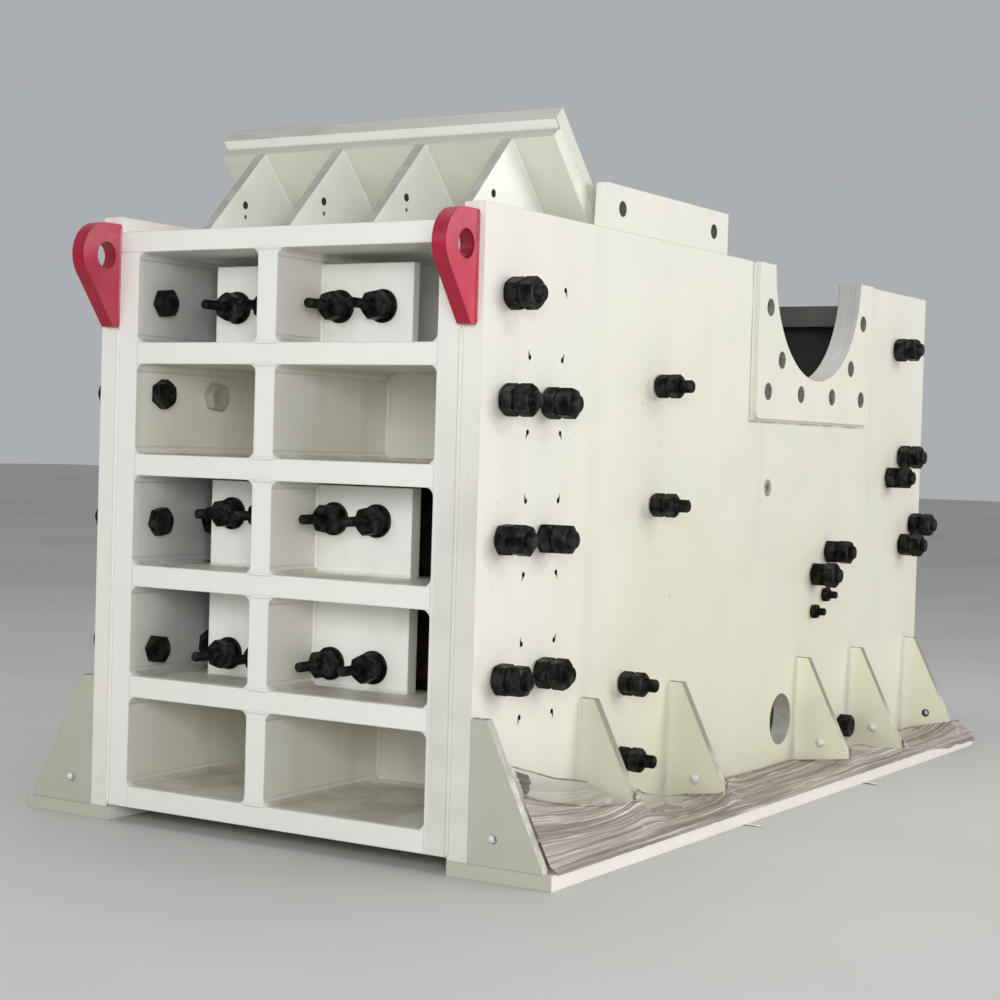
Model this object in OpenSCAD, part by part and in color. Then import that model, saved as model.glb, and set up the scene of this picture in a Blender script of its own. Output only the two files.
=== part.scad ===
/* [Frame] */
// Length of the side plates, front to rear
body_len = 4165; // [3900:5:4400]
// Width over the outer faces of the side plates
body_w = 1640; // [1500:5:1800]
// Height from the floor to the top of the side plates
body_h = 2200; // [2195:1:2210]
// Thickness of each side plate
side_t = 80; // [60:1:90]

/* [Saddle] */
// Distance from the front edge to the saddle's centre
saddle_x = 2741; // [2700:1:2780]
// Height of the saddle's centre
saddle_z = 2215; // [2200:1:2230]
// Radius of the bearing saddle
saddle_r = 480; // [460:1:490]
// Thickness of the raised plate round the saddle
saddle_pad_t = 25; // [15:1:30]
// Radius of the bearing housing's bolt holes
saddle_hole_r = 36; // [30:0.5:38]

/* [Foot] */
// How far each foot flange reaches past its side plate
flange_out = 318; // [280:1:340]
// Thickness of the foot flange
flange_t = 50; // [40:1:60]
// Height of the foot gussets above the floor
gusset_top = 524; // [480:1:560]
// Thickness of a foot gusset
gusset_t = 36; // [25:1:45]

/* [Front wall] */
// Spacing of the shelves
shelf_pitch = 402.4; // [400:0.1:404]
// Height of the top beam's underside
shelf_top = 2071; // [2069:1:2073]
// Thickness of a shelf
shelf_t = 77; // [70:1:84]
// Depth of the pockets between the shelves
pocket_depth = 690; // [660:5:720]
// Width of the stiles bolted to the side plates
stile_w = 92; // [80:1:100]
// Near edge of the upright between the two columns of pockets
mullion_y = 840; // [820:1:850]
// Width of that upright
mullion_w = 85; // [75:1:90]

/* [Deflector] */
// Number of deflector ribs
rib_n = 4; // [4:1:4]
// Thickness of a deflector rib
rib_t = 40; // [30:1:45]

/* [Lugs and tabs] */
// How far the lifting lugs stand forward of the front
lug_out = 190; // [180:1:200]
// Radius of the lifting eye
lug_hole_r = 48; // [40:1:50]
// Radius of the holes in the top tabs
tab_hole_r = 28; // [20:1:32]

/* [Hidden] */
$fn = 64;
half_w = body_w / 2;
in_y = half_w - side_t;              // inner face of a side plate, from the middle
mid_x = (body_len - lug_out) / 2;    // middle of the whole footprint
deck_z = shelf_top + 74;
low_z = shelf_top - 5 * shelf_pitch; // underside of the lowest shelf
seat_t = 80;
jaw_x = pocket_depth + seat_t;
plate_x = 264;                       // front of the bolt plates inside the pockets
// Bolt plates: row, near end, thickness, gap above
plate_rows = [[1, 450, 36, 34], [3, 430, 52, 12], [4, 430, 52, 12]];
jaw_t = 110;
jaw_pitch = 106;

gusset_x = [0, 725, 1420, 2660, 3285, 4000];
saddle_holes = [[-524, 2020], [-390, 1807], [-524, 1670], [-175, 1670],
                [175, 1670], [524, 1670], [390, 1807], [524, 2020]];
tap_x = [305, 525];
tap_z = [[1711, 1459], [1227, 979], [744, 496]];

// The slope of the deflector: a unit vector up along it, and its front normal
defl_run = 96;
defl_rise = 100;
defl_l = sqrt(defl_run * defl_run + defl_rise * defl_rise);
defl_u = [-defl_run / defl_l, defl_rise / defl_l];
defl_n = [-defl_rise / defl_l, -defl_run / defl_l];
defl_foot = [960, deck_z];            // where the face between the two layers meets the deck
defl_front_t = 48;
defl_rear_t = 68;
defl_len = 530;
defl_front = defl_foot[0] - defl_front_t * defl_l / defl_rise;

// Tilt of the rear castings, along the line of thrust
thrust = 32;

cream = [0.87, 0.86, 0.79];
red = [0.76, 0.10, 0.20];
steel = [0.34, 0.33, 0.32];

// Work is laid out from the front face, the frame's middle line and the floor
module place() { translate([-mid_x, 0, 0]) children(); }
// The far side is the near side turned over about the middle plane
module far() { mirror([0, 1, 0]) children(); }
// A flat profile drawn in X and Z, extruded towards +Y from y0 to y1
module slab(y0, y1) {
    translate([0, y1, 0]) rotate([90, 0, 0]) linear_extrude(height = y1 - y0) children();
}
module box(x0, x1, y0, y1, z0, z1) {
    translate([x0, y0, z0]) cube([x1 - x0, y1 - y0, z1 - z0]);
}
function along(p, u, n) = [p[0] + u * defl_u[0] + n * defl_n[0], p[1] + u * defl_u[1] + n * defl_n[1]];
function turned(c, u, v) = [c[0] + u * cos(thrust) + v * sin(thrust), c[1] + u * sin(thrust) - v * cos(thrust)];

// ---- side plates ----
module side_plate() {
    difference() {
        slab(-half_w, -in_y) difference() {
            translate([0, flange_t]) square([body_len, body_h - flange_t]);
            translate([saddle_x, saddle_z]) circle(r = saddle_r, $fn = 128);
            for (h = saddle_holes) translate([saddle_x + h[0], h[1]]) circle(r = saddle_hole_r);
            translate([2512, 267]) circle(r = 110);
            translate([2298, 1267]) circle(r = 16);
        }
        // shallow tapped holes round each pair of wall bolts
        for (zz = tap_z, z = zz, x = tap_x)
            translate([x, -half_w - 1, z]) rotate([-90, 0, 0]) cylinder(r = 9, h = 31, $fn = 24);
        translate([534, -half_w - 1, 1953]) rotate([-90, 0, 0]) cylinder(r = 9, h = 31, $fn = 24);
    }
}
module saddle_plate() {
    slab(-half_w - saddle_pad_t, -half_w) difference() {
        union() {
            translate([saddle_x - 642, 1595]) square([1284, body_h - 1595]);
            translate([saddle_x - 602, 1555]) square([1204, 60]);
            translate([saddle_x - 602, 1595]) circle(r = 40);
            translate([saddle_x + 602, 1595]) circle(r = 40);
        }
        translate([saddle_x, saddle_z]) circle(r = saddle_r, $fn = 128);
        for (h = saddle_holes) translate([saddle_x + h[0], h[1]]) circle(r = saddle_hole_r);
    }
}
module top_tab() {
    slab(-half_w, -half_w + 45) difference() {
        polygon([[802, body_h], [1828, body_h], [1828, body_h + 163], [812, body_h + 163]]);
        translate([933, 2280]) circle(r = tab_hole_r);
        translate([1699, 2280]) circle(r = tab_hole_r);
    }
}
module lifting_lug() {
    slab(-half_w + 25, -in_y) difference() {
        union() {
            intersection() {
                translate([118 - lug_out, 2055]) circle(r = 118, $fn = 96);
                translate([-lug_out, 1900]) square([lug_out, 400]);
            }
            polygon([[0, 2173], [118 - lug_out, 2173], [118 - lug_out, 2055], [23.5 - lug_out, 1984.4],
                     [-31, 1803], [-22, 1800], [0, 1800]]);
        }
        translate([120 - lug_out, 2055]) circle(r = lug_hole_r);
    }
}

// ---- feet ----
module foot_flange() {
    box(0, body_len, -half_w - flange_out, -in_y, 0, flange_t);
}
module foot_gussets() {
    for (i = [0 : len(gusset_x) - 1]) translate([gusset_x[i], 0, 0]) difference() {
        translate([0, -half_w, 0]) rotate([90, 0, 90]) linear_extrude(height = gusset_t)
            polygon([[0, flange_t], [0, gusset_top], [-58, gusset_top], [-283, 64], [-283, flange_t]]);
        if (i == 0) translate([-1, -half_w - 97, 139]) rotate([0, 90, 0]) cylinder(r = 14, h = gusset_t + 2);
        if (i > 0) translate([-1, -half_w - 128, 158]) rotate([0, 90, 0]) cylinder(r = 14, h = gusset_t + 2);
    }
}

// ---- front wall ----
module front_top_beam() { box(0, 960, -in_y, in_y, shelf_top, deck_z); }
module front_stile() { box(0, pocket_depth, -in_y, -in_y + stile_w, low_z, shelf_top); }
module shelf(i) {
    z = shelf_top - i * shelf_pitch;
    box(0, pocket_depth, -in_y + stile_w, in_y - stile_w, z, z + shelf_t);
}
module front_mullion() {
    for (i = [1 : 5]) {
        z = shelf_top - i * shelf_pitch;
        box(0, pocket_depth, mullion_y - half_w, mullion_y - half_w + mullion_w, z + shelf_t, z + shelf_pitch);
    }
}
// Thick plates across the pockets for the fixed jaw's bolts: each stands on a shelf and
// against the upright, and leaves a gap at its outer end and at its top
module pocket_bolt_plates() {
    for (p = plate_rows) {
        z = shelf_top - p[0] * shelf_pitch;
        top = z + shelf_pitch - p[3];
        box(plate_x, plate_x + p[2], p[1] - half_w, mullion_y - half_w, z + shelf_t, top);
        box(plate_x, plate_x + p[2], mullion_y + mullion_w - half_w, 1322 - half_w, z + shelf_t, top);
    }
}
module jaw_support_plate() { box(pocket_depth, jaw_x, -in_y, in_y, low_z, shelf_top); }
module fixed_jaw_plate() {
    n = floor((2 * in_y - 92) / jaw_pitch);
    y0 = -n * jaw_pitch / 2;
    translate([jaw_x, 0, low_z + 40]) linear_extrude(height = shelf_top - low_z - 40)
        polygon(concat([[0, y0], [jaw_t - 40, y0]],
            [for (i = [0 : n - 1]) each [[jaw_t - 40, y0 + i * jaw_pitch + 12], [jaw_t, y0 + i * jaw_pitch + 34],
                [jaw_t, y0 + i * jaw_pitch + 72], [jaw_t - 40, y0 + i * jaw_pitch + 94]]],
            [[jaw_t - 40, -y0], [0, -y0]]));
}

// ---- deflector ----
// The plate stands on the deck in front; the liner lies on its rear face, clear of the deck
module deflector_plate() {
    slab(-in_y, in_y) polygon([defl_foot, along(defl_foot, defl_len, 0), along(defl_foot, defl_len, defl_front_t),
                               [defl_front, deck_z]]);
}
module deflector_liner() {
    slab(-in_y, in_y) polygon([along(defl_foot, 126, 0), along(defl_foot, defl_len + 38, 0),
                               along(defl_foot, defl_len + 38, -defl_rear_t), along(defl_foot, 126, -defl_rear_t)]);
}
module deflector_ribs() {
    for (i = [0 : rib_n - 1]) {
        y = (i - (rib_n - 1) / 2) * 366;
        slab(y - rib_t / 2, y + rib_t / 2) difference() {
            polygon([[226, deck_z], [226, deck_z + 12], along(defl_foot, defl_len, defl_front_t), [defl_front, deck_z]]);
            translate([448, 2287]) circle(r = 14);
            translate([450, 2243]) circle(r = 7, $fn = 32);
        }
    }
}

// ---- chamber ----
module cheek_plates() {
    // an upper and a lower plate, each standing a little clear of the other
    slab(-in_y, -in_y + 36) polygon([[905, 1010], [905, 2060], [1560, 2060], [1560, 1010]]);
    slab(-in_y, -in_y + 36) polygon([[905, 120], [905, 996], [1560, 996], [1220, 120]]);
}

// ---- rear ----
module rear_top_beam() { box(3690, 3900, -in_y, in_y, 2040, 2140); }
module rear_top_web() { box(3800, 3900, -in_y, in_y, 1690, 2040); }
module toggle_profile() {
    c = [3895, 1198];
    polygon([turned(c, -170, -270), turned(c, 125, -270), turned(c, 125, -190), turned(c, -70, -190),
             turned(c, -70, 190), turned(c, 125, 190), turned(c, 125, 270), turned(c, -170, 270)]);
}
module toggle_housing() { slab(-in_y, in_y) toggle_profile(); }
module toggle_housing_ribs() {
    c = [3895, 1198];
    for (y = [-in_y, -400, -20, 360, in_y - 90])
        slab(y, y + (abs(y) > 500 ? 90 : 40))
            polygon([turned(c, -70, -190), turned(c, 110, -190), turned(c, 110, 190), turned(c, -70, 190)]);
}
module toggle_seat() {
    c = [3895, 1198];
    slab(-in_y + 90, in_y - 90) difference() {
        polygon([turned(c, -250, -80), turned(c, -170, -80), turned(c, -170, 80), turned(c, -250, 80)]);
        translate(turned(c, -262, 0)) circle(r = 42);
    }
}
module lower_cross_beam() {
    c = [2913, 926];
    slab(-in_y, in_y) polygon([turned(c, -210, -75), turned(c, 160, -75), turned(c, 160, 170), turned(c, -210, 170)]);
}
module rear_base_beam() { box(3130, 3285, -in_y, in_y, 95, 235); }

color(cream) place() side_plate();  // side_plate_near
color(cream) place() far() side_plate();  // side_plate_far
color(cream) place() saddle_plate();  // saddle_plate_near
color(cream) place() far() saddle_plate();  // saddle_plate_far
color(cream) place() top_tab();  // top_tab_near
color(cream) place() far() top_tab();  // top_tab_far
color(red) place() lifting_lug();  // lifting_lug_near
color(red) place() far() lifting_lug();  // lifting_lug_far
color(cream) place() foot_flange();  // foot_flange_near
color(cream) place() far() foot_flange();  // foot_flange_far
color(cream) place() foot_gussets();  // foot_gussets_near
color(cream) place() far() foot_gussets();  // foot_gussets_far
color(cream) place() front_top_beam();
color(cream) place() front_stile();  // front_stile_near
color(cream) place() far() front_stile();  // front_stile_far
color(cream) place() shelf(1);  // front_shelf_1
color(cream) place() shelf(2);  // front_shelf_2
color(cream) place() shelf(3);  // front_shelf_3
color(cream) place() shelf(4);  // front_shelf_4
color(cream) place() shelf(5);  // front_bottom_shelf
color(cream) place() front_mullion();
color(cream) place() pocket_bolt_plates();
color(cream) place() jaw_support_plate();
color(steel) place() fixed_jaw_plate();
color(cream) place() deflector_plate();
color(cream) place() deflector_liner();
color(cream) place() deflector_ribs();
color(steel) place() cheek_plates();  // cheek_plates_near
color(steel) place() far() cheek_plates();  // cheek_plates_far
color(cream) place() rear_top_beam();
color(cream) place() rear_top_web();
color(cream) place() toggle_housing();
color(cream) place() toggle_housing_ribs();
color(steel) place() toggle_seat();
color(cream) place() lower_cross_beam();
color(cream) place() rear_base_beam();
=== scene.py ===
# Heavy bolted crusher frame: finishes, fasteners, welds and the wrapping on its feet.
# Lengths in the making are in millimetres: x from the front face, y from the middle plane
# (the near side is negative), z from the floor. put() turns them into the shared frame.
import bpy
import bmesh
import math
import random
import numpy as np
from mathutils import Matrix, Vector, noise


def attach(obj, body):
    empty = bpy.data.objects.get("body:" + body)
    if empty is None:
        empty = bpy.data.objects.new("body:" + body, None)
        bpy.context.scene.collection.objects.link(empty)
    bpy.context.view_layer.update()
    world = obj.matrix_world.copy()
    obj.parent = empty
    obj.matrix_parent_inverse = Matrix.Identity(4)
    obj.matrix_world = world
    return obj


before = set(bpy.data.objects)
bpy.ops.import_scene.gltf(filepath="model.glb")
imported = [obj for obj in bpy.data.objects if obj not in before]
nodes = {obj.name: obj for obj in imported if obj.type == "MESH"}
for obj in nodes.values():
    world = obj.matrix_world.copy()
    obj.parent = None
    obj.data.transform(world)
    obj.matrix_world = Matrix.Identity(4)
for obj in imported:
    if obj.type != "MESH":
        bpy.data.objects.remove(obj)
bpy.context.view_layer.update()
scene = bpy.context.scene
scene.view_settings.view_transform = "Standard"

MID = 1987.5
HALF = 820.0
INNER = 740.0
SHELF_TOP, PITCH, SHELF_T = 2071.0, 402.4, 77.0
DECK = 2145.0
POCKET = 690.0
STILE = 92.0
MULLION = (20.0, 105.0)
BOLT_PLATES = {1: (-370.0, 34.0), 3: (-390.0, 12.0), 4: (-390.0, 12.0)}      # row: near end, gap above
GUSSETS = [0, 725, 1420, 2660, 3285, 4000]
PLATE_X = 264.0
FLANGE_OUT = 318.0


def put(v):
    """layout millimetres, (n, 3), to metres in the shared frame"""
    v = np.asarray(v, float).reshape(-1, 3)
    return np.column_stack(((v[:, 0] - MID) / 1000.0, v[:, 1] / 1000.0, v[:, 2] / 1000.0))


# ------------------------------------------------------------------ camera
def camera():
    eye = np.array([(-5461.82 - MID) / 1000.0, (-3426.58 - HALF) / 1000.0, 1.4103])
    yaw, pitch, roll, f = math.radians(46.264), math.radians(0.116), math.radians(1.776), 982.0
    fwd = np.array([math.cos(yaw) * math.cos(pitch), math.sin(yaw) * math.cos(pitch), math.sin(pitch)])
    right = np.array([math.sin(yaw), -math.cos(yaw), 0.0])
    up = np.cross(right, fwd)
    r2 = math.cos(roll) * right + math.sin(roll) * up
    u2 = -math.sin(roll) * right + math.cos(roll) * up
    pts = []
    for name, o in nodes.items():
        co = np.empty(len(o.data.vertices) * 3, np.float32)
        o.data.vertices.foreach_get("co", co)
        pts.append(co.reshape(-1, 3))
    pts = np.vstack(pts).astype(float) - eye
    aim = fwd + r2 * (272.0 / f) - u2 * (40.0 / f)
    for _ in range(4):                       # turn the camera until the object is centred
        aim = aim / np.linalg.norm(aim)
        r = np.cross(aim, u2)
        r /= np.linalg.norm(r)
        u = np.cross(r, aim)
        d = pts @ aim
        px, py = pts @ r / d, pts @ u / d
        cx, cy = (px.min() + px.max()) / 2, (py.min() + py.max()) / 2
        half = max(px.max() - px.min(), py.max() - py.min()) / 2
        aim = aim + r * cx + u * cy
    aim = aim / np.linalg.norm(aim)
    r = np.cross(aim, u2)
    r /= np.linalg.norm(r)
    u = np.cross(r, aim)
    cam = bpy.data.cameras.new("camera")
    cam.sensor_width = 36.0
    cam.lens = 36.0 * 0.945 / (2 * half)
    cam.clip_start, cam.clip_end = 0.1, 200.0
    ob = bpy.data.objects.new("camera", cam)
    scene.collection.objects.link(ob)
    m = np.eye(4)
    m[:3, 0], m[:3, 1], m[:3, 2], m[:3, 3] = r, u, -aim, eye
    from mathutils import Matrix
    ob.matrix_world = Matrix(m.tolist())
    scene.camera = ob


camera()


# ------------------------------------------------------------------ materials
class Graph:
    def __init__(self, name):
        self.mat = bpy.data.materials.new(name)
        self.mat.use_nodes = True
        self.t = self.mat.node_tree
        for n in list(self.t.nodes):
            self.t.nodes.remove(n)
        self.out = self.t.nodes.new("ShaderNodeOutputMaterial")
        self.bsdf = self.t.nodes.new("ShaderNodeBsdfPrincipled")
        self.t.links.new(self.bsdf.outputs[0], self.out.inputs[0])
        self.coord = self.t.nodes.new("ShaderNodeTexCoord").outputs["Object"]

    def node(self, kind, **settings):
        n = self.t.nodes.new(kind)
        for k, v in settings.items():
            setattr(n, k, v)
        return n

    def link(self, a, b):
        self.t.links.new(a, b)

    def set(self, socket, value):
        if isinstance(value, bpy.types.NodeSocket):
            self.link(value, socket)
        else:
            socket.default_value = value

    def math(self, op, a, b=0.0, c=0.0, clamp=False):
        n = self.node("ShaderNodeMath", operation=op, use_clamp=clamp)
        self.set(n.inputs[0], a)
        self.set(n.inputs[1], b)
        if len(n.inputs) > 2:
            self.set(n.inputs[2], c)
        return n.outputs[0]

    def scaled(self, s):
        n = self.node("ShaderNodeVectorMath", operation="MULTIPLY")
        self.link(self.coord, n.inputs[0])
        n.inputs[1].default_value = s
        return n.outputs[0]

    def xyz(self):
        n = self.node("ShaderNodeSeparateXYZ")
        self.link(self.coord, n.inputs[0])
        return n.outputs

    def normal(self):
        """the face's own direction"""
        n = self.node("ShaderNodeSeparateXYZ")
        self.link(self.node("ShaderNodeNewGeometry").outputs["Normal"], n.inputs[0])
        return n.outputs

    def noise(self, scale, detail=3.0, rough=0.5, stretch=None, distort=0.0):
        n = self.node("ShaderNodeTexNoise")
        self.link(self.scaled(stretch) if stretch else self.coord, n.inputs["Vector"])
        n.inputs["Scale"].default_value = scale
        n.inputs["Detail"].default_value = detail
        n.inputs["Roughness"].default_value = rough
        n.inputs["Distortion"].default_value = distort
        return n.outputs["Fac"]

    def ramp(self, fac, a, b, lo=0.0, hi=1.0):
        """lo to hi as fac goes from a to b, held at both ends"""
        n = self.node("ShaderNodeMapRange", clamp=True)
        n.interpolation_type = "SMOOTHSTEP"
        self.set(n.inputs["Value"], fac)
        n.inputs["From Min"].default_value = a
        n.inputs["From Max"].default_value = b
        n.inputs["To Min"].default_value = lo
        n.inputs["To Max"].default_value = hi
        return n.outputs["Result"]

    def mix(self, fac, a, b, kind="MIX"):
        n = self.node("ShaderNodeMix", data_type="RGBA", blend_type=kind)
        self.set(n.inputs["Factor"], fac)
        for s, v in ((n.inputs[6], a), (n.inputs[7], b)):
            self.set(s, v if isinstance(v, bpy.types.NodeSocket) else (*v, 1.0)[:4])
        return n.outputs[2]

    def color(self, value):
        self.set(self.bsdf.inputs["Base Color"], value if isinstance(value, bpy.types.NodeSocket) else (*value, 1.0)[:4])

    def bump(self, height, distance, strength=1.0, normal=None):
        n = self.node("ShaderNodeBump")
        n.inputs["Strength"].default_value = strength
        n.inputs["Distance"].default_value = distance
        self.link(height, n.inputs["Height"])
        if normal is not None:
            self.link(normal, n.inputs["Normal"])
        return n.outputs["Normal"]

    def soft_edges(self, radius):
        n = self.node("ShaderNodeBevel")
        n.samples = 2
        n.inputs["Radius"].default_value = radius
        return n.outputs["Normal"]


CREAM = (0.800, 0.778, 0.700)
CREAM_WARM = (0.780, 0.735, 0.655)
CREAM_GREEN = (0.730, 0.760, 0.660)
CREAM_LOW = (0.690, 0.680, 0.525)
CREAM_PINK = (0.800, 0.768, 0.735)
PRIMER_AND_SHADE = (0.060, 0.052, 0.047)


def paint_layers(g):
    """the cream coat: yellower low down, slow shifts of hue, faint runs, dust near the floor, small specks"""
    x, y, z = g.xyz()
    base = g.mix(g.ramp(g.noise(0.55, 2.0), 0.35, 0.68), CREAM, CREAM_WARM)
    base = g.mix(g.ramp(g.noise(1.1, 2.0, stretch=(1.0, 1.0, 1.5)), 0.42, 0.68, 0.0, 0.75), base, CREAM_GREEN)
    base = g.mix(g.ramp(x, (1000 - MID) / 1000.0, (150 - MID) / 1000.0, 0.0, 0.6), base, CREAM_PINK)
    fall = g.math("ADD", z, g.ramp(g.noise(0.7, 2.0), 0.3, 0.7, -0.25, 0.25))
    middle = g.math("MULTIPLY", g.ramp(x, (350 - MID) / 1000.0, (1250 - MID) / 1000.0, 0.25, 1.0),
                    g.ramp(x, (3900 - MID) / 1000.0, (2700 - MID) / 1000.0, 0.45, 1.0))
    base = g.mix(g.math("MULTIPLY", middle, g.ramp(fall, 2.15, 0.15, 0.0, 0.90)), base, CREAM_LOW)
    runs = g.noise(1.0, 4.0, 0.6, stretch=(7.0, 7.0, 0.5))
    base = g.mix(g.ramp(runs, 0.5, 0.8, 0.0, 0.20), base, (0.58, 0.55, 0.46))
    cloud = g.noise(3.1, 5.0, 0.65)
    base = g.mix(g.ramp(cloud, 0.55, 0.80, 0.0, 0.14), base, (0.62, 0.58, 0.49))
    low = g.math("MULTIPLY", g.ramp(z, 0.50, 0.03, 0.0, 0.30), g.ramp(g.noise(5.0, 5.0, 0.7), 0.35, 0.72))
    base = g.mix(low, base, (0.50, 0.45, 0.38))
    specks = g.math("MULTIPLY", g.ramp(g.noise(58.0, 2.0, 0.5), 0.715, 0.75), g.ramp(g.noise(2.3, 2.0), 0.50, 0.66, 0.0, 0.50))
    base = g.mix(specks, base, (0.20, 0.13, 0.08))
    return base


def paint_surface(g, radius=0.004):
    n = g.bump(g.noise(7.0, 2.0, 0.5), 0.004, 0.22, g.soft_edges(radius))
    n = g.bump(g.noise(150.0, 2.0, 0.5), 0.0012, 0.16, n)
    g.link(n, g.bsdf.inputs["Normal"])


def least_distance(g, points):
    """metres to the nearest of the points, measured in X and Z"""
    flat = g.node("ShaderNodeVectorMath", operation="MULTIPLY")
    g.link(g.coord, flat.inputs[0])
    flat.inputs[1].default_value = (1.0, 0.0, 1.0)
    least = None
    for px, pz in points:
        d = g.node("ShaderNodeVectorMath", operation="DISTANCE")
        g.link(flat.outputs[0], d.inputs[0])
        d.inputs[1].default_value = ((px - MID) / 1000.0, 0.0, pz / 1000.0)
        least = d.outputs["Value"] if least is None else g.math("MINIMUM", least, d.outputs["Value"])
    return least


def near_any(g, points, radius):
    """1 inside that distance of any of the points"""
    return g.math("LESS_THAN", least_distance(g, points), radius)


def cream(name, rust=None, radius=0.004):
    g = Graph(name)
    g.color(paint_layers(g))
    g.set(g.bsdf.inputs["Roughness"], g.ramp(g.noise(4.0, 4.0), 0.3, 0.7, 0.34, 0.50))
    paint_surface(g, radius)
    return g


def side_plate_paint():
    """cream outside, with painted shade low on the near front edge and painted shadows below the saddle plate and the
    nuts, bare grey in the bored saddle, bolt and tapped holes painted dark as painted shade, and dark primer kept
    near-black as painted shade inside the chamber
    """
    g = Graph("cream_paint_side")
    x, y, z = g.xyz()
    nx, ny, nz = g.normal()
    base = paint_layers(g)
    # painted shade: the near side plate's forward edge face is darkened, more so lower down
    edge = g.math("MULTIPLY", g.math("LESS_THAN", nx, -0.5), g.math("LESS_THAN", x, (4 - MID) / 1000.0))
    edge = g.math("MULTIPLY", g.math("MULTIPLY", edge, g.math("LESS_THAN", y, 0.0)), g.ramp(z, 1.78, 1.15))
    base = g.mix(g.math("MULTIPLY", edge, g.ramp(g.noise(4.0, 3.0), 0.3, 0.7, 0.35, 0.85)), base, (0.595, 0.575, 0.530))
    # a painted shadow: a dark line below and in front of the raised saddle plate
    left = g.math("SUBTRACT", (2099 - MID) / 1000.0, x)
    below = g.math("SUBTRACT", 1.555, z)
    off = g.math("MAXIMUM", left, below)
    near = g.math("MULTIPLY", g.ramp(off, 0.004, 0.008), g.ramp(off, 0.022, 0.012))
    span = g.math("MULTIPLY", g.math("LESS_THAN", x, (3383 - MID) / 1000.0), g.math("LESS_THAN", left, 0.022))
    near = g.math("MULTIPLY", near, g.math("MULTIPLY", span, g.math("LESS_THAN", below, 0.022)))
    base = g.mix(g.math("MULTIPLY", near, g.ramp(g.noise(9.0, 3.0), 0.3, 0.6, 0.30, 0.75)), base, (0.20, 0.19, 0.16))
    # painted shadow: a soft dark halo below and in front of each nut
    bolt_shadow = g.math("ADD", least_distance(g, [(a - 16, b - 40) for a, b in TYPE_A + TYPE_B]), g.ramp(g.noise(11.0, 3.0), 0.3, 0.7, -0.018, 0.018))
    base = g.mix(g.ramp(bolt_shadow, 0.105, 0.040, 0.0, 0.42), base, (0.560, 0.520, 0.500))
    # painted shade: the walls of the bolt holes are painted dark grey
    holes = near_any(g, [(2741 + a, b) for a, b in SADDLE_HOLES] + [(2298, 1267)], 0.0368)
    hole_shade = g.mix(g.ramp(g.noise(45.0, 3.0), 0.4, 0.65), (0.25, 0.25, 0.215), (0.40, 0.395, 0.34))
    base = g.mix(holes, base, hole_shade)
    # painted shade: the tapped holes are painted near-black
    taps = near_any(g, [(a, b) for a in (305, 525) for p in TAPS for b in p] + [(534, 1953)], 0.0094)
    base = g.mix(taps, base, (0.015, 0.014, 0.012))
    bore = near_any(g, [(2741, 2215)], 0.4808)
    service = near_any(g, [(2512, 267)], 0.1108)
    tool = g.noise(1.0, 2.0, 0.5, stretch=(3.0, 60.0, 3.0))
    steel = g.mix(g.ramp(tool, 0.35, 0.65), (0.490, 0.478, 0.450), (0.530, 0.518, 0.488))
    steel = g.mix(g.ramp(g.noise(5.5, 4.0, 0.6), 0.45, 0.7, 0.0, 0.40), steel, (0.390, 0.382, 0.356))
    base = g.mix(bore, base, steel)
    base = g.mix(service, base, g.mix(g.ramp(g.noise(14.0, 4.0), 0.4, 0.65), (0.42, 0.415, 0.360), (0.56, 0.550, 0.480)))
    # dark primer inside the chamber, kept near-black as painted shade
    inside = g.math("LESS_THAN", g.math("ABSOLUTE", y), 0.7412)
    over_deck = g.math("MULTIPLY", g.math("GREATER_THAN", z, 2.0715), g.math("LESS_THAN", x, (960 - MID) / 1000.0))
    inside = g.math("MULTIPLY", inside, g.math("SUBTRACT", 1.0, over_deck))
    prim = g.mix(g.ramp(g.noise(2.2, 5.0, 0.65), 0.35, 0.7), PRIMER_AND_SHADE, (0.115, 0.103, 0.090))
    base = g.mix(inside, base, prim)
    g.color(base)
    rough = g.ramp(g.noise(4.0, 4.0), 0.3, 0.7, 0.34, 0.50)
    rough = g.math("ADD", rough, g.math("MULTIPLY", inside, 0.28))
    g.set(g.bsdf.inputs["Roughness"], g.math("ADD", rough, g.math("MULTIPLY", bore, 0.16)))
    g.set(g.bsdf.inputs["Metallic"], g.math("MULTIPLY", bore, 0.05))
    paint_surface(g, 0.005)
    return g


# bolts of the side plate: double nuts, long ones on washers, small ones
TYPE_A = [(167, 1914), (155, 1563), (430, 1561), (155, 1102), (430, 1099), (158, 639), (433, 639), (3780, 1930),
          (3876, 1414), (3721, 1313), (4059, 1082), (3923, 985), (2990, 978), (2836, 881)]
TYPE_B = [(1245, 1652), (1235, 1206), (1028, 552), (1023, 275)]
TYPE_C = [(2938, 787), (2814, 718)]
SADDLE_HOLES = [(-524, 2020), (-390, 1807), (-524, 1670), (-175, 1670), (175, 1670), (524, 1670), (390, 1807), (524, 2020)]
TAPS = [(1711, 1459), (1227, 979), (744, 496)]


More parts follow.
